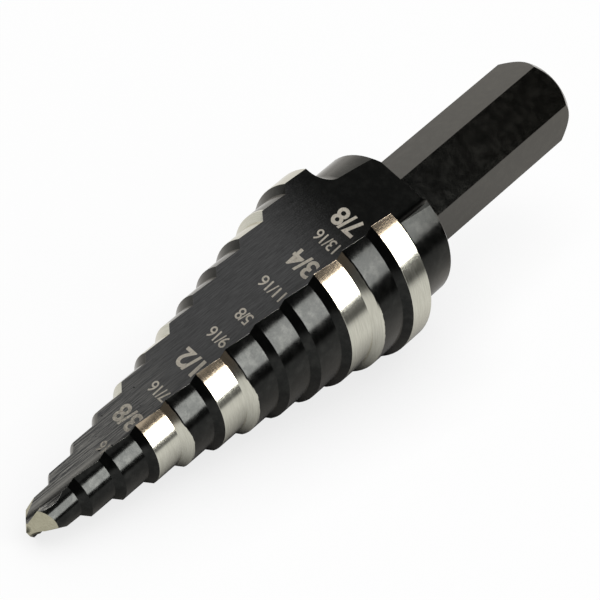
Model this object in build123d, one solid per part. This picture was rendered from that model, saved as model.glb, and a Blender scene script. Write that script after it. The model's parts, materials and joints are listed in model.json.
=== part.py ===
from build123d import *
from math import cos, radians, sin, sqrt, tan
import os

# Step drill, 3/16 in to 7/8 in by 1/16 in, ground from one bar of high speed
# steel: a short drill point, twelve steps with two straight flutes, a collar
# and a hexagonal shank.  Millimetres.
#
# It is drawn standing on its point: Z runs from the point to the shank, Y is
# the normal of one flat of the hexagon, and angles turn from Y towards X.
# Last, it is laid down as it would come to rest.

INCH = 25.4

# Steps
FIRST_DIAMETER = 3 / 16 * INCH
DIAMETER_RISE = 1 / 16 * INCH
STEP_COUNT = 12
STEP_PITCH = 4.04            # from the front of one step to the front of the next
SECOND_STEP_FRONT = 6.29     # from the point
LAST_STEP_WIDTH = 2.89
RAMP_ANGLE = 45.0            # of each step's chamfered front, from the axis

# Relief: each land is ground about a centre of its own, so that it falls away
# from its cutting edge to its heel
RELIEF_OFFSET = 0.12
RELIEF_ANGLE = 41.5          # direction of that centre
EDGE_ANGLE = 10.0            # direction of the cutting edges, on average

# Flutes: a rounded V, whose corner runs outwards on its way to the collar
FACE_ANGLE = 29.8            # of the cutting face, from that corner
WALL_ANGLE = 105.0           # of the other wall
FLUTE_CORNER_X = -0.19
FLUTE_CORNER_Y = -0.62
FLUTE_RUN_X = -0.024         # sideways, for each mm towards the shank
FLUTE_RUN_Y = 0.161
FLUTE_RADIUS = 1.3

# Drill point: each flank is part of a cone whose axis leans off the drill's,
# and the two meet in the chisel edge
FLANK_CONE_ANGLE = 68.7      # half of the cone's angle
FLANK_LEAN = 23.5
FLANK_LEAN_ANGLE = 129.0     # direction of the lean

# Split of the point: a notch beside each lip, with a face along the lip and one
# that takes off the other land's heel
LIP_FACE_ANGLE = 13.5
LIP_FACE_OFFSET = 0.39       # from the axis
HEEL_FACE_ANGLE = 80.6       # direction that the heel's face looks in
HEEL_FACE_LEAN = 25.0        # of that face, from the axis
HEEL_FACE_OFFSET = 0.36      # from the axis, at the point

# Hollow ground in the cutting edge of the first step
HOLLOW_RADIUS = 6.5
HOLLOW_ANGLE = 45.0          # direction that it is ground from
HOLLOW_OFFSET = 1.94         # from the axis
HOLLOW_MIDDLE = 3.0          # from the point

# Collar and shank
COLLAR_DIAMETER = 17.75
COLLAR_LENGTH = 6.32
COLLAR_FILLET = 1.7
COLLAR_CHAMFER = 0.35
SHANK_ACROSS_FLATS = 3 / 8 * INCH
SHANK_LENGTH = 26.08
SHANK_CHAMFER = 0.9          # off the corners of the hexagon
SHANK_CHAMFER_ANGLE = 40.0   # from the axis

SINK = 1.0                   # of one length of the bar into the next

UP = Vector(0, 0, 1)


def direction(angle):
    return Vector(sin(radians(angle)), cos(radians(angle)))


def land_radius(step):
    """Radius of a land about its own relief centre; steps count from 0."""
    nominal = (FIRST_DIAMETER + step * DIAMETER_RISE) / 2
    return nominal - RELIEF_OFFSET * cos(radians(RELIEF_ANGLE - EDGE_ANGLE))


def step_front(step):
    return SECOND_STEP_FRONT + (step - 1) * STEP_PITCH


def ramp_start(step):
    return step_front(step) - DIAMETER_RISE / 2 / tan(radians(RAMP_ANGLE))


def land():
    """Half of the stepped body, with every step on one land."""
    outline = [(0, -SINK), (land_radius(0), -SINK)]
    for step in range(1, STEP_COUNT):
        outline += [
            (land_radius(step - 1), ramp_start(step)),
            (land_radius(step), step_front(step)),
        ]
    outline += [(land_radius(STEP_COUNT - 1), ring_end), (0, ring_end)]
    across = direction(RELIEF_ANGLE)
    centre = across * RELIEF_OFFSET
    profile = make_face(Polyline(*outline, close=True))
    plane = Plane(origin=centre, x_dir=across, z_dir=across.cross(UP))
    return revolve(plane * profile, Axis(centre, UP), 180)


def collar():
    """Plain collar, with a fillet up to the back of the last step."""
    radius = COLLAR_DIAMETER / 2
    foot = (radius + COLLAR_FILLET, ring_end)
    top = (radius, ring_end + COLLAR_FILLET)
    chamfer = (radius - COLLAR_CHAMFER, collar_end)
    inside = ring_end - SINK
    outline = Polyline(top, (radius, collar_end - COLLAR_CHAMFER), chamfer, (0, collar_end))
    outline += Polyline((0, collar_end), (0, inside), (foot[0], inside), foot)
    outline += RadiusArc(foot, top, COLLAR_FILLET)
    return revolve(Plane.XZ * make_face(outline), Axis.Z)


def shank():
    """Hexagon, with the corners of its end turned off."""
    hexagon = RegularPolygon(SHANK_ACROSS_FLATS / 2, 6, major_radius=False)
    bar = Pos(0, 0, collar_end - SINK) * extrude(hexagon, SHANK_LENGTH + SINK)
    corner = SHANK_ACROSS_FLATS / sqrt(3)
    slope = tan(radians(SHANK_CHAMFER_ANGLE))
    envelope = Polyline(
        (0, 0),
        (2 * corner, 0),
        (2 * corner, length - (corner + SHANK_CHAMFER) / slope),
        (corner - SHANK_CHAMFER, length),
        (0, length),
        close=True,
    )
    return bar & revolve(Plane.XZ * make_face(envelope), Axis.Z)


def flute_corner(height):
    """Corner of the flute's section, before it is rounded."""
    run = Vector(FLUTE_RUN_X, FLUTE_RUN_Y, 1)
    return Vector(FLUTE_CORNER_X, FLUTE_CORNER_Y) + run * height


def flute():
    """Cutter that leaves the cutting face, a rounded corner and the wall."""
    corner = flute_corner(0)
    face = direction(FACE_ANGLE) * length
    wall = direction(WALL_ANGLE) * length
    section = make_face(Polyline(corner, corner + face, corner + face + wall, corner + wall, close=True))
    section = fillet(section.vertices().sort_by_distance(corner)[0], FLUTE_RADIUS)
    run = flute_corner(1) - corner
    return Pos(run * -SINK) * extrude(section, (collar_end + 2 * SINK) * run.length, dir=run)


def flank():
    """Cone that holds the point, and whose surface is one of its flanks."""
    lean = radians(FLANK_LEAN)
    axis = direction(FLANK_LEAN_ANGLE) * sin(lean) + UP * cos(lean)
    height = 2 * length
    radius = height * tan(radians(FLANK_CONE_ANGLE))
    section = make_face(Polyline((0, 0), (radius, height), (0, height), close=True))
    return Plane(origin=(0, 0, 0), z_dir=axis) * revolve(Plane.XZ * section, Axis.Z)


def beyond(offset, angle, lean=0.0):
    """Block beyond a plane, which lies offset from the axis and looks in the angle's direction."""
    normal = direction(angle) * cos(radians(lean)) - UP * sin(radians(lean))
    block = Box(length, length, length, align=(Align.CENTER, Align.CENTER, Align.MIN))
    return Plane(origin=direction(angle) * offset, z_dir=normal) * block


def notch():
    """Cutter that splits the point beside one lip."""
    lip_face = beyond(LIP_FACE_OFFSET, LIP_FACE_ANGLE + 90)
    return lip_face & beyond(HEEL_FACE_OFFSET, HEEL_FACE_ANGLE, HEEL_FACE_LEAN)


def hollow():
    """Cutter for the hollow in the first step, which it doesn't leave."""
    middle = direction(HOLLOW_ANGLE) * (HOLLOW_OFFSET + HOLLOW_RADIUS) + UP * HOLLOW_MIDDLE
    wheel = Cylinder(HOLLOW_RADIUS, 2 * HOLLOW_RADIUS)
    wheel = Plane(origin=middle, z_dir=direction(HOLLOW_ANGLE + 90)) * wheel
    align = (Align.CENTER, Align.CENTER, Align.MIN)
    return wheel & Cylinder(land_radius(1), ramp_start(1), align=align)


def land_corner(step, angle, side):
    """Corner at a step's front where a wall of the flute meets the land."""
    start = flute_corner(step_front(step))
    wall = direction(angle)
    offset = Vector(start.X, start.Y) - direction(RELIEF_ANGLE) * RELIEF_OFFSET * side
    along = offset.dot(wall)
    reach = sqrt(along**2 - offset.length**2 + land_radius(step) ** 2) - along
    return start + wall * reach


ring_end = step_front(STEP_COUNT - 1) + LAST_STEP_WIDTH
collar_end = ring_end + COLLAR_LENGTH
length = collar_end + SHANK_LENGTH

# The bar with its two lands, then its two flutes, then its point
half_turn = Rot(0, 0, 180)
half = land()
drill = half + half_turn * half + collar() + shank()
for cutter in (flute(), notch(), hollow()):
    drill = drill - cutter - half_turn * cutter
drill = drill & flank() & half_turn * flank()

# It rests tip down on one flute: on the heel of its last step and on the
# cutting edge of the two steps before it
heel = land_corner(STEP_COUNT - 1, WALL_ANGLE, -1)
edge = land_corner(STEP_COUNT - 2, FACE_ANGLE, 1)
front_edge = land_corner(STEP_COUNT - 3, FACE_ANGLE, 1)
table_normal = (edge - heel).cross(front_edge - edge).normalized()
along = UP - table_normal * UP.dot(table_normal)
table = Plane(origin=heel, x_dir=along, z_dir=table_normal)
drill = table.to_local_coords(drill)
box = drill.bounding_box()
drill = Pos(-box.center().X, -box.center().Y, 0) * drill

os.makedirs("parts", exist_ok=True)
export_step(drill, "parts/step_drill.step")
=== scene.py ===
import json
from collections import namedtuple
from math import cos, radians, sin

import bmesh
import bpy
from mathutils import Matrix, Vector


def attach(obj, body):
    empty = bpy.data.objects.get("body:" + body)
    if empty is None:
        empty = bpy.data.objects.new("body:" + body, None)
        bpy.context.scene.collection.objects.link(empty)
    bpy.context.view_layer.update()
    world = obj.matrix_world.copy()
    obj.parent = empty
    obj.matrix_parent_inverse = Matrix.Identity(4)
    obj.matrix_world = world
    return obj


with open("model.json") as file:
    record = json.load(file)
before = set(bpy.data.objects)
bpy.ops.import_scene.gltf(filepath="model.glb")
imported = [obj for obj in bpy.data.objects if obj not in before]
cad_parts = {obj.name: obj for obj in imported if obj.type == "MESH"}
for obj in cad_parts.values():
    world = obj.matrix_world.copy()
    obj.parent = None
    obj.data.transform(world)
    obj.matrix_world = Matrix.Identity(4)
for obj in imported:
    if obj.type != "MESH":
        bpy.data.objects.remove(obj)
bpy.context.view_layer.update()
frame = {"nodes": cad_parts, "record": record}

bl_info = {
    "name": "Step Drill",
    "version": (1, 0, 0),
    "blender": (4, 5, 0),
    "location": "View3D > Sidebar > Step Drill",
    "description": "Finishes a step drill, etches its sizes and sets it on a studio floor",
    "category": "Object",
}

DRILL = "step_drill"
BODY = "root"
COORDINATES = "Drill Coordinates"
MM = 0.001
WHITE = (1.0, 1.0, 1.0, 1.0)
BLACK = (0.0, 0.0, 0.0, 1.0)

# Sizes are in millimetres, in the drill's own frame: Z runs from its tip to the
# shank, Y is the normal of one flat of the shank, on the side of the upper
# flute, and angles turn from Y towards X
ROLL = radians(38.395)            # of that flat's normal, from upright

# Steps, collar and shank, from front to back
STEP_PITCH = 4.04
SECOND_STEP_FRONT = 6.29
LAST_STEP = 12
LAST_STEP_WIDTH = 2.89
COLLAR_LENGTH = 6.32
SHANK_LENGTH = 26.08

# Bright ground steps, whose grinding runs over the ramp behind them and onto the
# next step
POLISHED_STEPS = (4, 6, 10, 12)
POLISHED_OVERRUN = 0.31
SEAM = 0.02                       # keeps a mask's limit off an edge of the steel

# Flutes: a V whose corner runs outwards on its way to the collar
FACE_ANGLE = radians(29.8)        # of the cutting face, from that corner
WALL_ANGLE = radians(105.0)       # of the other wall
FLUTE_CORNER = Vector((-0.19, -0.62, 0.0))
FLUTE_RUN = Vector((-0.024, 0.161, 1.0))
EDGE_OFF_WALL = 0.2               # a face this near to the wall's plane isn't an edge
EDGE_CUT_OFF = 40.0               # how steeply its distance falls there

# Hollow of the first step, ground by a wheel
HOLLOW_RADIUS = 6.5
HOLLOW_ANGLE = radians(45.0)
HOLLOW_OFFSET = 1.94              # of its floor, from the axis
HOLLOW_MIDDLE = 3.0
HOLLOW_END = 5.4

# Ground point: how far from the tip it reaches where faces look towards the tip,
# elsewhere, and in flutes that look down, where the point's pale colour is painted
# light from below
POINT_END = 4.6
POINT_FACING = -0.30              # of a face's normal, along the drill
POINT_ELSEWHERE = 0.8
POINT_PAINTED_LIGHT_BELOW = 2.4
FACES_DOWN = -0.1                 # of a face's normal, upwards

# Stretches over which a finish comes in, from none of it to all
SHANK_WARMS = (48.0, 78.0)
FLUTE_BLACKENS = (40.0, 49.5)
FLUTE_BRIGHT = (28.0, 2.0)
FLUTE_PITTED = (26.0, 18.0)
RUB_WIDTH = (0.55, 0.1)           # of a bright streak, to each side of its middle
RUB_ENDS = (16.0, 9.0)
# Painted warm reflection on the ground steps, in from their cutting edge
WARM_REFLECTION_BESIDE_EDGE = (-2.6, -0.6)
WORN_BESIDE_EDGE = (-0.10, -0.04)
ETCHING_PATCHY = (20.0, 15.0)
RUB_MIDDLE = 1.65                 # of that bright streak, from the flute's corner

# Roughness, from the smoothest to the roughest spots of each finish
OXIDE_ROUGHNESS = (0.13, 0.19)
FLUTE_ROUGHNESS = (0.28, 0.38)
BAND_ROUGHNESS = (0.135, 0.195)
POINT_ROUGHNESS = 0.38
ETCHING_ROUGHNESS = (0.35, 0.5)

# Depth and strength of the marks that the grinding leaves
MARK_DEPTH = 0.02
MARK_STRENGTH = 0.25

# Sizes on the flutes: the step, the middle of the text from the step's front,
# its start from the flute's corner, and its width
Size = namedtuple("Size", "text step middle start width large")
SIZES = (
    Size("1/4", 2, 1.70, 0.30, 1.15, False),
    Size("5/16", 3, 1.70, 0.75, 1.75, False),
    Size("3/8", 4, 1.70, 1.70, 2.40, True),
    Size("7/16", 5, 1.95, 1.86, 2.16, False),
    Size("1/2", 6, 2.47, 2.07, 2.52, True),
    Size("9/16", 7, 2.47, 2.33, 2.33, False),
    Size("5/8", 8, 1.99, 2.67, 1.62, False),
    Size("11/16", 9, 2.33, 2.44, 3.05, False),
    Size("3/4", 10, 2.64, 2.49, 2.97, True),
    Size("13/16", 11, 2.26, 2.80, 2.88, False),
    Size("7/8", 12, 1.42, 2.92, 3.12, True),
)

# Letters of the large and the small sizes: how far their outlines grow, and the
# space between them
LARGE_LETTERS = {"offset": 0.022, "space_character": 0.9}
SMALL_LETTERS = {"offset": 0.004, "space_character": 0.84}

# Studio, in metres
BACKDROP_DIRECTION = Vector((0.70, 0.72, 0.0)).normalized()
BACKDROP_SPREAD = 1.6             # of its width, to its distance
DARK_FRONT = (-0.085, -0.035)     # where the floor darkens in reflections, along Y
SHADOW_REACH = 0.012
SHADOW_OPENNESS = (0.25, 0.95)
SHADOW_LEVEL = 0.82               # of the floor where it is most covered
SENSOR_WIDTH = 36.0
CLIP_START = 0.01


def step_front(step):
    return SECOND_STEP_FRONT + (step - 2) * STEP_PITCH


def across_at(angle):
    """Direction across the drill, at an angle from Y towards X."""
    return Vector((sin(angle), cos(angle), 0.0))


def plane_on_corner(across):
    """Normal and distance of the plane that holds the flute's corner line and faces across."""
    return across - Vector((0.0, 0.0, across.dot(FLUTE_RUN))), across.dot(FLUTE_CORNER)


def drill_frame():
    """Matrix from the drill's own frame, in millimetres, to the model's, in metres."""
    axes = Matrix((ACROSS, OUT, ALONG)).transposed().to_4x4()
    return Matrix.Translation(TIP) @ axes @ Matrix.Scale(MM, 4)


RING_END = step_front(LAST_STEP) + LAST_STEP_WIDTH
LENGTH = RING_END + COLLAR_LENGTH + SHANK_LENGTH

# The drill's own axes and its tip in the model, in metres
SHANK_END = next(mount for mount in frame["record"]["mounts"] if mount["name"] == "shank_end")
ALONG = Vector(SHANK_END["axis"])
OUT = Vector((-ALONG.z, 0.0, ALONG.x)) * cos(ROLL) - Vector((0.0, sin(ROLL), 0.0))
ACROSS = OUT.cross(ALONG)
TIP = Vector(SHANK_END["pos_m"]) - ALONG * LENGTH * MM

# Planes of the upper flute
ALONG_WALL = across_at(WALL_ANGLE)
WALL = plane_on_corner(across_at(WALL_ANGLE - radians(90.0)))
FACE = plane_on_corner(across_at(FACE_ANGLE + radians(90.0)))
WALL_READING = plane_on_corner(ALONG_WALL)


# Node trees


class Tree:
    """Short calls for building one node tree."""

    # First of the two mixed inputs, and the output, of a Mix node's kinds
    MIX_SOCKETS = {"FLOAT": (2, 0), "VECTOR": (4, 1), "RGBA": (6, 2)}

    def __init__(self, tree):
        self.tree = tree

    def add(self, kind, *values, **settings):
        """Adds a node, sets its properties and fills its inputs with values or sockets."""
        node = self.tree.nodes.new(kind)
        for name, value in settings.items():
            setattr(node, name, value)
        for index, value in enumerate(values):
            if value is not None:
                self.fill(node.inputs[index], value)
        return node

    def fill(self, socket, value):
        if isinstance(value, bpy.types.NodeSocket):
            self.tree.links.new(value, socket)
        else:
            socket.default_value = value

    def math(self, operation, *values):
        return self.add("ShaderNodeMath", *values, operation=operation).outputs[0]

    def length(self, first, second):
        """Length of a vector that has these two parts."""
        squares = [self.math("MULTIPLY", part, part) for part in (first, second)]
        return self.math("SQRT", self.math("ADD", *squares))

    def smooth(self, value, low, high, start=0.0, end=1.0):
        """Value taken from low..high to start..end, with soft ends."""
        node = self.add("ShaderNodeMapRange", value, low, high, start, end)
        node.interpolation_type = "SMOOTHSTEP"
        return node.outputs[0]

    def linear(self, value, low, high, start=0.0, end=1.0):
        return self.add("ShaderNodeMapRange", value, low, high, start, end).outputs[0]

    def mix(self, kind, factor, first, second, **settings):
        """Number, vector or colour between the first and the second."""
        start, output = self.MIX_SOCKETS[kind]
        node = self.add("ShaderNodeMix", data_type=kind, **settings)
        for index, value in ((0, factor), (start, first), (start + 1, second)):
            self.fill(node.inputs[index], value)
        return node.outputs[output]

    def blend(self, factor, first, second):
        return self.mix("RGBA", factor, first, second)

    def tinted(self, factor, color, tint):
        return self.mix("RGBA", factor, color, tint, blend_type="MULTIPLY")

    def value_between(self, factor, first, second):
        return self.mix("FLOAT", factor, first, second)

    def noise(self, vector, scale, detail, roughness=0.5):
        node = self.add("ShaderNodeTexNoise")
        self.fill(node.inputs["Vector"], vector)
        self.fill(node.inputs["Scale"], scale)
        self.fill(node.inputs["Detail"], detail)
        self.fill(node.inputs["Roughness"], roughness)
        return node.outputs["Fac"]

    def scaled(self, vector, factors):
        return self.add("ShaderNodeVectorMath", vector, factors, operation="MULTIPLY").outputs[0]

    def dot(self, vector, direction):
        node = self.add("ShaderNodeVectorMath", vector, tuple(direction), operation="DOT_PRODUCT")
        return node.outputs["Value"]

    def plane(self, vector, normal, distance):
        """Signed distance from a plane."""
        return self.math("SUBTRACT", self.dot(vector, normal), distance)


def rgba(color):
    return (*color, 1.0)


def new_group(name, inputs, outputs):
    """Shader group with named inputs and outputs; gives it, its Tree and its ends."""
    group = bpy.data.node_groups.new(name, "ShaderNodeTree")
    for in_out, sockets in (("INPUT", inputs), ("OUTPUT", outputs)):
        for label, kind in sockets.items():
            group.interface.new_socket(label, in_out=in_out, socket_type=kind)
    tree = Tree(group)
    source = tree.add("NodeGroupInput").outputs
    result = tree.add("NodeGroupOutput").inputs
    return group, tree, source, result


def drill_coordinates_group():
    """Object coordinates in the drill's own frame, and distances from its edges and faces."""
    inputs = {"Vector": "NodeSocketVector"}
    outputs = {
        "Drill": "NodeSocketVector",
        "Along": "NodeSocketFloat",
        "Side": "NodeSocketFloat",
        "Flute": "NodeSocketFloat",
        "Edge": "NodeSocketFloat",
        "Wall": "NodeSocketVector",
        "Hollow": "NodeSocketFloat",
    }
    group, tree, source, result = new_group(COORDINATES, inputs, outputs)
    location, rotation, scale = drill_frame().decompose()
    mapping = tree.add("ShaderNodeMapping", source["Vector"], vector_type="TEXTURE")
    mapping.inputs["Location"].default_value = location
    mapping.inputs["Rotation"].default_value = rotation.to_euler("XYZ")
    mapping.inputs["Scale"].default_value = scale
    drill = mapping.outputs[0]
    across, out, along = tree.add("ShaderNodeSeparateXYZ", drill).outputs
    from_hollow = tree.math("SUBTRACT", along, HOLLOW_MIDDLE)

    # In both flutes, the second being the first turned round: Flute is below 0 in
    # the lands and about 0 on the walls, Edge rises to 0 at a cutting edge, Wall
    # follows the wall, and Hollow is above 0 inside the wheel that ground it. Side
    # is near 0 at the cutting edges and 1 a quarter turn from Y.
    flutes, edges, walls, hollows = [], [], [], []
    for turned in (drill, tree.scaled(drill, (-1.0, -1.0, 1.0))):
        wall = tree.plane(turned, *WALL)
        face = tree.plane(turned, *FACE)
        flutes.append(tree.math("MINIMUM", wall, face))
        off_wall = tree.math("SUBTRACT", wall, EDGE_OFF_WALL)
        edges.append(tree.math("MINIMUM", face, tree.math("MULTIPLY", off_wall, EDGE_CUT_OFF)))
        reading = tree.plane(turned, *WALL_READING)
        walls.append(tree.add("ShaderNodeCombineXYZ", reading, wall, along).outputs[0])
        from_wheel = tree.plane(turned, across_at(HOLLOW_ANGLE), HOLLOW_OFFSET + HOLLOW_RADIUS)
        hollows.append(tree.math("SUBTRACT", HOLLOW_RADIUS, tree.length(from_wheel, from_hollow)))

    side = tree.math("DIVIDE", tree.math("ABSOLUTE", across), tree.length(across, out))
    tree.fill(result["Drill"], drill)
    tree.fill(result["Along"], along)
    tree.fill(result["Side"], side)
    tree.fill(result["Flute"], tree.math("MAXIMUM", *flutes))
    tree.fill(result["Edge"], tree.math("MAXIMUM", *edges))
    tree.fill(result["Wall"], tree.mix("VECTOR", tree.math("LESS_THAN", *flutes), *walls))
    tree.fill(result["Hollow"], tree.math("MAXIMUM", *hollows))
    return group


def new_material(name):
    material = bpy.data.materials.new(name)
    material.use_nodes = True
    material.node_tree.nodes.clear()
    return material, Tree(material.node_tree)


def new_metal(name, group):
    """Metal with the drill's coordinates; gives it, its Tree, shader, coordinates and group outputs."""
    material, tree = new_material(name)
    shader = tree.add("ShaderNodeBsdfPrincipled")
    shader.inputs["Metallic"].default_value = 1.0
    output = tree.add("ShaderNodeOutputMaterial")
    tree.fill(output.inputs["Surface"], shader.outputs[0])
    coordinates = tree.add("ShaderNodeTexCoord").outputs
    at = tree.add("ShaderNodeGroup", node_tree=group)
    tree.fill(at.inputs["Vector"], coordinates["Object"])
    return material, tree, shader, coordinates, at.outputs


# Finishes of the drill


def flute_mask(tree, at):
    """1 in the flutes and in the hollow of the first step."""
    in_hollow = tree.math("GREATER_THAN", at["Hollow"], -SEAM)
    hollow = tree.math("MULTIPLY", in_hollow, tree.math("LESS_THAN", at["Along"], HOLLOW_END))
    return tree.math("MAXIMUM", tree.smooth(at["Flute"], -0.03, -0.01), hollow)


def band_mask(tree, at):
    """1 on the ground steps and on the ramps behind them."""
    along = at["Along"]
    # The grinding runs onto the next step, but not beside the cutting edge
    wobble = tree.linear(tree.noise(at["Drill"], scale=1.5, detail=3.0), 0.3, 0.7, -0.05, 0.05)
    overrun = tree.linear(at["Side"], 0.35, 0.65, -0.12, POLISHED_OVERRUN)
    ends = tree.math("SUBTRACT", along, tree.math("ADD", wobble, overrun))
    mask = 0.0
    for step in POLISHED_STEPS:
        start = tree.math("GREATER_THAN", along, step_front(step) - SEAM)
        end = tree.math("LESS_THAN", ends, step_front(step + 1)) if step < LAST_STEP else 1.0
        end = tree.math("MULTIPLY", end, tree.math("LESS_THAN", along, RING_END + SEAM / 2))
        mask = tree.math("MAXIMUM", mask, tree.math("MULTIPLY", start, end))
    return mask


def point_mask(tree, at, normal, flute):
    """1 on the ground point: the faces that look towards the tip, and the ends of the flutes, which reach
    further where they look down, as painted light from below.
    """
    along = at["Along"]
    facing = tree.math("LESS_THAN", tree.dot(normal, ALONG), POINT_FACING)
    point = tree.math("MULTIPLY", facing, tree.math("LESS_THAN", along, POINT_END))
    # Flute faces that look down carry the point's pale colour further from the tip: painted light from below
    below = tree.math("LESS_THAN", tree.add("ShaderNodeSeparateXYZ", normal).outputs[2], FACES_DOWN)
    below = tree.math("MULTIPLY", below, flute)
    reach = tree.value_between(below, POINT_ELSEWHERE, POINT_PAINTED_LIGHT_BELOW)
    return tree.math("MAXIMUM", point, tree.math("LESS_THAN", along, reach))


def worn_mask(tree, at, specks):
    """Bare steel in places along the cutting edges, up to 1."""
    worn = tree.smooth(at["Edge"], *WORN_BESIDE_EDGE)
    worn = tree.math("MULTIPLY", worn, tree.smooth(specks, 0.5, 0.65, 0.0, 0.6))
    return tree.math("MULTIPLY", worn, tree.math("LESS_THAN", at["Along"], RING_END))


def oxide(tree, finish, at, mottle, specks):
    """Mottled black oxide, warmer towards the end of the shank."""
    clouds = tree.math("ADD", tree.smooth(mottle, 0.4, 0.75), tree.linear(specks, 0.4, 0.7, 0.0, 0.5))
    color = tree.blend(clouds, rgba(finish.oxide_color), rgba(finish.oxide_pale_color))
    return tree.tinted(tree.smooth(at["Along"], *SHANK_WARMS), color, rgba(finish.shank_tint))


def brushed_flute(tree, finish, at, streaks, specks, dark):
    """Streaks along the flute: bright and pitted near the tip, oxide at the collar."""
    along, wall = at["Along"], at["Wall"]
    grain = tree.smooth(streaks, 0.36, 0.64)
    color = tree.blend(grain, rgba(finish.flute_color), rgba(finish.flute_pale_color))
    scores = tree.noise(tree.scaled(wall, (9.0, 9.0, 0.22)), scale=1.0, detail=5.0, roughness=0.75)
    bright = tree.math("MULTIPLY", tree.smooth(along, *FLUTE_BRIGHT), tree.smooth(scores, 0.44, 0.60))
    from_corner = tree.add("ShaderNodeSeparateXYZ", wall).outputs[0]
    from_rub = tree.math("ABSOLUTE", tree.math("SUBTRACT", from_corner, RUB_MIDDLE))
    rub = tree.math("MULTIPLY", tree.smooth(from_rub, *RUB_WIDTH), tree.smooth(along, *RUB_ENDS, 0.0, 0.8))
    color = tree.blend(tree.math("MAXIMUM", bright, rub), color, rgba(finish.flute_tip_color))
    pits = tree.smooth(tree.noise(wall, scale=2.2, detail=1.0), 0.70, 0.75)
    color = tree.blend(tree.math("MULTIPLY", pits, tree.smooth(along, *FLUTE_PITTED)), color, dark)
    ragged = tree.math("ADD", along, tree.linear(specks, 0.3, 0.7, -2.0, 2.0))
    return tree.blend(tree.smooth(ragged, *FLUTE_BLACKENS), color, tree.blend(0.5, dark, BLACK))


def ground_band(tree, finish, at, rings):
    """Ground steel with fine rings, and a painted warm reflection by the cutting edge."""
    color = tree.smooth(rings, 0.3, 0.7)
    color = tree.blend(color, rgba(finish.ground_color), rgba(finish.ground_pale_color))
    # Warm tint beside the cutting edge: a painted reflection
    return tree.tinted(tree.smooth(at["Edge"], *WARM_REFLECTION_BESIDE_EDGE), color, rgba(finish.warm_reflection_color))


def ground_point(tree, finish, at):
    """Point, with the marks of the wheel."""
    marks = tree.noise(tree.scaled(at["Drill"], (2.0, 14.0, 4.0)), scale=1.0, detail=4.0, roughness=0.7)
    return tree.blend(tree.smooth(marks, 0.3, 0.7), rgba(finish.point_color), rgba(finish.point_pale_color))


def drill_material(finish, group):
    material, tree, shader, coordinates, at = new_metal("Black oxide and ground steel", group)
    drill = at["Drill"]
    mottle = tree.noise(drill, scale=1.1, detail=6.0, roughness=0.65)
    specks = tree.noise(drill, scale=9.0, detail=3.0, roughness=0.7)
    streaks = tree.noise(tree.scaled(at["Wall"], (10.0, 10.0, 0.45)), scale=1.0, detail=5.0, roughness=0.75)
    rings = tree.noise(tree.scaled(drill, (0.5, 0.5, 9.0)), scale=1.0, detail=4.0, roughness=0.65)

    flute = flute_mask(tree, at)
    land = tree.math("SUBTRACT", 1.0, flute)
    band = tree.math("MULTIPLY", band_mask(tree, at), land)
    point = point_mask(tree, at, coordinates["Normal"], flute)
    worn = tree.math("MULTIPLY", worn_mask(tree, at, specks), land)

    dark = oxide(tree, finish, at, mottle, specks)
    color = tree.blend(flute, dark, brushed_flute(tree, finish, at, streaks, specks, dark))
    color = tree.blend(band, color, ground_band(tree, finish, at, rings))
    color = tree.blend(worn, color, rgba(finish.ground_color))
    color = tree.blend(point, color, ground_point(tree, finish, at))
    tree.fill(shader.inputs["Base Color"], color)
    shader.inputs["Specular Tint"].default_value = rgba(finish.glancing_tint)

    roughness = tree.linear(mottle, 0.3, 0.7, *OXIDE_ROUGHNESS)
    roughness = tree.value_between(flute, roughness, tree.linear(streaks, 0.3, 0.7, *FLUTE_ROUGHNESS))
    roughness = tree.value_between(band, roughness, tree.linear(rings, 0.3, 0.7, *BAND_ROUGHNESS))
    roughness = tree.value_between(point, roughness, POINT_ROUGHNESS)
    tree.fill(shader.inputs["Roughness"], roughness)

    # Full depth in the flutes, less on the bands and hardly any in the oxide
    height = tree.math("MULTIPLY", rings, tree.linear(band, 0.0, 1.0, 0.04, 0.18))
    bump = tree.add("ShaderNodeBump")
    bump.inputs["Strength"].default_value = MARK_STRENGTH
    bump.inputs["Distance"].default_value = MARK_DEPTH * MM
    tree.fill(bump.inputs["Height"], tree.value_between(flute, height, streaks))
    tree.fill(shader.inputs["Normal"], bump.outputs[0])
    return material


def etched_material(finish, group):
    """Pale etching with darker specks, fainter and patchy near the tip."""
    material, tree, shader, coordinates, at = new_metal("Etched sizes", group)
    specks = tree.noise(at["Drill"], scale=5.0, detail=4.0, roughness=0.7)
    color = tree.blend(tree.smooth(specks, 0.3, 0.75), rgba(finish.etch_color), rgba(finish.etch_dark_color))
    patchy = tree.smooth(at["Along"], *ETCHING_PATCHY)
    patchy = tree.math("MULTIPLY", patchy, tree.smooth(specks, 0.3, 0.65, 0.0, 0.6))
    color = tree.blend(patchy, color, rgba(finish.etch_faint_color))
    tree.fill(shader.inputs["Base Color"], color)
    tree.fill(shader.inputs["Roughness"], tree.linear(specks, 0.0, 1.0, *ETCHING_ROUGHNESS))
    return material


# Settings


def color_setting(name, description, default):
    return bpy.props.FloatVectorProperty(
        name=name, description=description, default=default, subtype="COLOR", size=3, min=0.0, max=1.0
    )


def length_setting(name, description, default):
    """Length, whose default is in metres."""
    return bpy.props.FloatProperty(
        name=name, description=description, default=default, unit="LENGTH", precision=5, min=0.0
    )


def level_setting(name, description, default, highest=1.0):
    return bpy.props.FloatProperty(
        name=name, description=description, default=default, subtype="FACTOR", min=0.0, max=highest
    )


def power_setting(name, description, default):
    return bpy.props.FloatProperty(name=name, description=description, default=default, unit="POWER", min=0.0)


def angle_setting(name, description, default):
    """Angle, whose default is in degrees."""
    return bpy.props.FloatProperty(
        name=name, description=description, default=radians(default), unit="ROTATION"
    )


def place_setting(name, description, default):
    return bpy.props.FloatVectorProperty(
        name=name, description=description, default=default, subtype="TRANSLATION", precision=5
    )


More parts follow.
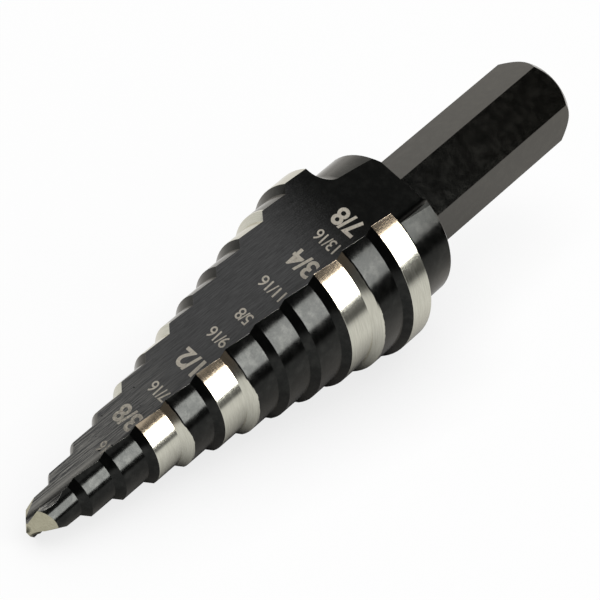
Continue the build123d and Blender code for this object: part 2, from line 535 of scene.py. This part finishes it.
def extent_setting(name, description, default):
    """Length and width, in metres."""
    return bpy.props.FloatVectorProperty(
        name=name, description=description, default=default, size=2, subtype="XYZ_LENGTH"
    )


class StepDrillFinish(bpy.types.PropertyGroup):
    """Colours of the drill's finishes."""

    oxide_color: color_setting("Oxide", "Black oxide", (0.0165, 0.0170, 0.0162))
    oxide_pale_color: color_setting("Pale Oxide", "Paler mottling in the oxide", (0.0300, 0.0305, 0.0285))
    shank_tint: color_setting("Shank Tint", "Tint of the oxide towards the shank's end", (1.0, 0.95, 0.86))
    glancing_tint: color_setting("Glancing Tint", "Tint of the metal at a low angle", (1.0, 0.975, 0.935))
    flute_color: color_setting("Flute", "Brushed flutes", (0.065, 0.065, 0.065))
    flute_pale_color: color_setting("Pale Flute", "Paler grain of the flutes", (0.112, 0.112, 0.112))
    flute_tip_color: color_setting("Flute Tip", "Streaks of the flutes near the tip", (0.38, 0.37, 0.34))
    ground_color: color_setting("Ground Steel", "Ground steps", (0.51, 0.50, 0.425))
    ground_pale_color: color_setting("Pale Ground", "Paler rings in the ground steps", (0.59, 0.58, 0.50))
    # Warm tint of the ground steps by their edges: a painted reflection
    warm_reflection_color: color_setting("Warm Reflection Tint", "Tint of the ground steps by their edges", (1.0, 0.83, 0.70))
    point_color: color_setting("Point", "Ground flanks of the point", (0.38, 0.36, 0.26))
    point_pale_color: color_setting("Pale Point", "Paler marks of the wheel", (0.50, 0.475, 0.36))
    etch_color: color_setting("Etching", "Etched sizes", (0.68, 0.63, 0.54))
    etch_dark_color: color_setting("Dark Etching", "Darker specks in the etched sizes", (0.49, 0.45, 0.38))
    etch_faint_color: color_setting("Faint Etching", "Etched sizes near the tip", (0.20, 0.185, 0.155))


class StepDrillSizes(bpy.types.PropertyGroup):
    """Measures of the sizes etched in the flutes."""

    large_height: length_setting("Large Height", "Height of the large figures", 2.45 * MM)
    small_height: length_setting("Small Height", "Height of the small figures", 1.50 * MM)
    thickness: length_setting("Thickness", "How far the figures stand out of the flute", 0.012 * MM)


class StepDrillStage(bpy.types.PropertyGroup):
    """Floor, backdrop, lamps and camera."""

    floor_color: color_setting("Floor", "Studio floor", (0.90, 0.90, 0.90))
    floor_size: length_setting("Floor Size", "Side of the floor", 12.0)
    floor_glow: level_setting("Floor Glow", "Share of plain white in the floor as it is seen", 0.97)
    floor_gloss_level: level_setting("Floor in Metal", "Level of the floor as metal shows it", 0.92)
    dark_front_level: level_setting("Dark Front", "Level of the floor in front, as metal shows it", 0.08)
    backdrop_distance: length_setting("Backdrop", "From the drill to the backdrop", 3.0)
    backdrop_level: level_setting("Backdrop Level", "Strength of the backdrop's light", 1.2, highest=10.0)
    world_strength: level_setting("World", "Strength of the light from all round", 0.09)
    key_power: power_setting("Key Lamp", "Power of the softbox beside the drill", 12.0)
    key_angle: angle_setting("Key Angle", "Place of the softbox round the drill, from its flute", -24.5)
    key_distance: length_setting("Key Distance", "From the drill's axis to the softbox", 0.9)
    key_along: length_setting("Key Along", "From the tip to the softbox, along the drill", 0.44)
    key_size: extent_setting("Key Size", "Softbox along and across the drill", (0.48, 0.62))
    top_power: power_setting("Top Lamp", "Power of the softbox above the drill", 2.3)
    top_location: place_setting("Top Place", "Place of the softbox above the drill", (0.18, -0.29, 1.6))
    top_size: extent_setting("Top Size", "Softbox above the drill", (1.1, 1.1))
    camera_location: place_setting("Camera", "Place of the camera", (-0.202904, -0.169295, 0.199013))
    camera_target: place_setting("Target", "Point that the camera looks at", (-0.000589, -0.000503, 0.008818))
    camera_roll: angle_setting("Roll", "Turn of the camera about its line of sight", 1.34)
    camera_lens: bpy.props.FloatProperty(
        name="Lens", description="Focal length", default=186.94, unit="CAMERA"
    )


# Operators


class StepDrillFinishBody(bpy.types.Operator):
    """Give the drill its black oxide, ground steps and brushed flutes"""

    bl_idname = "step_drill.finish_body"
    bl_label = "Finish Drill"

    def execute(self, context):
        materials = frame["nodes"][DRILL].data.materials
        materials.clear()
        materials.append(drill_material(context.scene.step_drill_finish, drill_coordinates_group()))
        return {"FINISHED"}


class StepDrillEtchSizes(bpy.types.Operator):
    """Etch the sizes beside the steps, in both flutes"""

    bl_idname = "step_drill.etch_sizes"
    bl_label = "Etch Sizes"

    def execute(self, context):
        settings = context.scene.step_drill_sizes
        material = etched_material(context.scene.step_drill_finish, bpy.data.node_groups[COORDINATES])
        for number, turn in enumerate((0.0, radians(180.0)), start=1):
            figures = bmesh.new()
            for size in SIZES:
                self.add_size(context, figures, settings, size)
            place = drill_frame() @ Matrix.Rotation(turn, 4, "Z")
            bmesh.ops.transform(figures, matrix=place, verts=figures.verts)
            mesh = bpy.data.meshes.new(f"etched_sizes_{number}")
            figures.to_mesh(mesh)
            figures.free()
            piece = bpy.data.objects.new(mesh.name, mesh)
            context.scene.collection.objects.link(piece)
            piece.data.materials.append(material)
            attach(piece, BODY)
        return {"FINISHED"}

    def add_size(self, context, figures, settings, size):
        """Adds one size to the mesh, on the flute's wall, in millimetres."""
        mesh = self.text_mesh(context, size)
        corners = [vert.co for vert in mesh.vertices]
        low = Vector(min(corner[axis] for corner in corners) for axis in range(3))
        high = Vector(max(corner[axis] for corner in corners) for axis in range(3))
        span = high - low
        height = (settings.large_height if size.large else settings.small_height) / MM
        # As deep in the wall as it stands out of it
        depth = 2 * settings.thickness / MM
        fit = Matrix.Diagonal((size.width / span.x, height / span.y, depth / span.z, 1.0))
        to_start = Matrix.Translation(-Vector((low.x, (low.y + high.y) / 2, (low.z + high.z) / 2)))

        up = -FLUTE_RUN.normalized()
        up = (up - ALONG_WALL * up.dot(ALONG_WALL)).normalized()
        wall = Matrix((ALONG_WALL, up, ALONG_WALL.cross(up))).transposed().to_4x4()
        start = FLUTE_CORNER + FLUTE_RUN * (step_front(size.step) + size.middle) + ALONG_WALL * size.start
        mesh.transform(Matrix.Translation(start) @ wall @ fit @ to_start)
        figures.from_mesh(mesh)
        bpy.data.meshes.remove(mesh)

    def text_mesh(self, context, size):
        """Closed mesh of the text, which add_size scales to its measures."""
        curve = bpy.data.curves.new("size", "FONT")
        curve.body = size.text
        for name, value in (LARGE_LETTERS if size.large else SMALL_LETTERS).items():
            setattr(curve, name, value)
        curve.extrude = 0.5
        curve.fill_mode = "BOTH"
        source = bpy.data.objects.new("size", curve)
        context.scene.collection.objects.link(source)
        mesh = bpy.data.meshes.new_from_object(source.evaluated_get(context.evaluated_depsgraph_get()))
        bpy.data.objects.remove(source)
        bpy.data.curves.remove(curve)
        return mesh


class StepDrillSetStage(bpy.types.Operator):
    """Set the floor, the backdrop, the lamps, the world and the camera"""

    bl_idname = "step_drill.set_stage"
    bl_label = "Set Stage"

    def execute(self, context):
        settings = context.scene.step_drill_stage
        self.add_sheets(context, settings)
        self.add_world(context, settings)
        self.add_lamps(context, settings)
        self.add_camera(context, settings)
        context.scene.view_settings.view_transform = "Standard"
        return {"FINISHED"}

    def add_sheets(self, context, settings):
        flat = Matrix.Identity(4)
        self.add_sheet(context, "floor", flat, settings.floor_size, self.floor_material(settings))
        behind = BACKDROP_DIRECTION * settings.backdrop_distance
        upright = Matrix.Translation(behind) @ behind.to_track_quat("-Z", "Y").to_matrix().to_4x4()
        spread = settings.backdrop_distance * BACKDROP_SPREAD
        self.add_sheet(context, "backdrop", upright, spread, self.backdrop_material(settings))

    def add_sheet(self, context, name, place, size, material):
        shape = bmesh.new()
        bmesh.ops.create_grid(shape, x_segments=1, y_segments=1, size=size / 2, matrix=place)
        mesh = bpy.data.meshes.new(name)
        shape.to_mesh(mesh)
        shape.free()
        mesh.materials.append(material)
        sheet = bpy.data.objects.new(name, mesh)
        context.scene.collection.objects.link(sheet)

    def floor_material(self, settings):
        """Pale sheet that darkens under the drill, and in front of it where metal shows it."""
        material, tree = new_material("Studio floor")
        rays = tree.add("ShaderNodeLightPath").outputs
        seen = rays["Is Camera Ray"]
        coordinates = tree.add("ShaderNodeTexCoord").outputs["Object"]
        front = tree.add("ShaderNodeSeparateXYZ", coordinates).outputs[1]
        dark, pale = settings.dark_front_level, settings.floor_gloss_level
        level = tree.value_between(seen, tree.smooth(front, *DARK_FRONT, dark, pale), 1.0)
        open_above = tree.add("ShaderNodeAmbientOcclusion", None, SHADOW_REACH, samples=8).outputs["AO"]
        darkest = tree.value_between(seen, 0.0, SHADOW_LEVEL)
        shadow = tree.linear(open_above, *SHADOW_OPENNESS, darkest, 1.0)
        self.finish_sheet(tree, settings, rays, tree.math("MULTIPLY", level, shadow))
        return material

    def backdrop_material(self, settings):
        material, tree = new_material("Studio backdrop")
        rays = tree.add("ShaderNodeLightPath").outputs
        level = tree.value_between(rays["Is Camera Ray"], settings.backdrop_level, 1.0)
        self.finish_sheet(tree, settings, rays, level)
        return material

    def finish_sheet(self, tree, settings, rays, level):
        """Diffuse, with a share of plain white for the camera, and all white in reflections."""
        diffuse = tree.add("ShaderNodeBsdfDiffuse", rgba(settings.floor_color))
        white = tree.add("ShaderNodeEmission", WHITE, level)
        mirrored = tree.math("MAXIMUM", rays["Is Glossy Ray"], rays["Is Transmission Ray"])
        share = tree.value_between(rays["Is Camera Ray"], mirrored, settings.floor_glow)
        mix = tree.add("ShaderNodeMixShader", share, diffuse.outputs[0], white.outputs[0])
        output = tree.add("ShaderNodeOutputMaterial")
        tree.fill(output.inputs["Surface"], mix.outputs[0])

    def add_world(self, context, settings):
        world = bpy.data.worlds.new("Studio")
        world.use_nodes = True
        world.node_tree.nodes.clear()
        tree = Tree(world.node_tree)
        seen = tree.add("ShaderNodeLightPath").outputs["Is Camera Ray"]
        level = tree.value_between(seen, settings.world_strength, settings.floor_glow)
        background = tree.add("ShaderNodeBackground", WHITE, level)
        output = tree.add("ShaderNodeOutputWorld")
        tree.fill(output.inputs["Surface"], background.outputs[0])
        context.scene.world = world

    def add_lamps(self, context, settings):
        outward = (ACROSS * sin(settings.key_angle) + OUT * cos(settings.key_angle)).normalized()
        turn = Matrix((ALONG, outward.cross(ALONG), outward)).transposed().to_4x4()
        place = TIP + ALONG * settings.key_along + outward * settings.key_distance
        key = Matrix.Translation(place) @ turn
        self.add_lamp(context, "key_softbox", settings.key_power, settings.key_size, key)

        place = Vector(settings.top_location)
        top = Matrix.Translation(place) @ place.to_track_quat("Z", "Y").to_matrix().to_4x4()
        self.add_lamp(context, "top_softbox", settings.top_power, settings.top_size, top)

    def add_lamp(self, context, name, power, size, place):
        lamp = bpy.data.lights.new(name, "AREA")
        lamp.shape = "RECTANGLE"
        lamp.size, lamp.size_y = size
        lamp.energy = power
        softbox = bpy.data.objects.new(name, lamp)
        softbox.matrix_world = place
        context.scene.collection.objects.link(softbox)

    def add_camera(self, context, settings):
        camera = bpy.data.objects.new("camera", bpy.data.cameras.new("camera"))
        camera.data.lens = settings.camera_lens
        camera.data.sensor_width = SENSOR_WIDTH
        camera.data.clip_start = CLIP_START
        location = Vector(settings.camera_location)
        sight = location - Vector(settings.camera_target)
        aim = sight.to_track_quat("Z", "Y").to_matrix().to_4x4()
        roll = Matrix.Rotation(settings.camera_roll, 4, "Z")
        camera.matrix_world = Matrix.Translation(location) @ aim @ roll
        context.scene.collection.objects.link(camera)
        context.scene.camera = camera


class StepDrillPanel(bpy.types.Panel):
    """Operators and settings of the step drill"""

    bl_idname = "VIEW3D_PT_step_drill"
    bl_label = "Step Drill"
    bl_space_type = "VIEW_3D"
    bl_region_type = "UI"
    bl_category = "Step Drill"

    def draw(self, context):
        for operator, group, name in PARTS:
            self.layout.operator(operator.bl_idname)
            settings = getattr(context.scene, name)
            for setting in group.__annotations__:
                self.layout.prop(settings, setting)


# Each operator with its settings and their name in the scene
PARTS = (
    (StepDrillFinishBody, StepDrillFinish, "step_drill_finish"),
    (StepDrillEtchSizes, StepDrillSizes, "step_drill_sizes"),
    (StepDrillSetStage, StepDrillStage, "step_drill_stage"),
)


def register():
    for operator, settings, name in PARTS:
        bpy.utils.register_class(settings)
        bpy.utils.register_class(operator)
        setattr(bpy.types.Scene, name, bpy.props.PointerProperty(type=settings))
    bpy.utils.register_class(StepDrillPanel)


def unregister():
    bpy.utils.unregister_class(StepDrillPanel)
    for operator, settings, name in reversed(PARTS):
        delattr(bpy.types.Scene, name)
        bpy.utils.unregister_class(operator)
        bpy.utils.unregister_class(settings)


def main():
    register()
    bpy.ops.step_drill.finish_body()
    bpy.ops.step_drill.etch_sizes()
    bpy.ops.step_drill.set_stage()


if __name__ == "__main__":
    main()
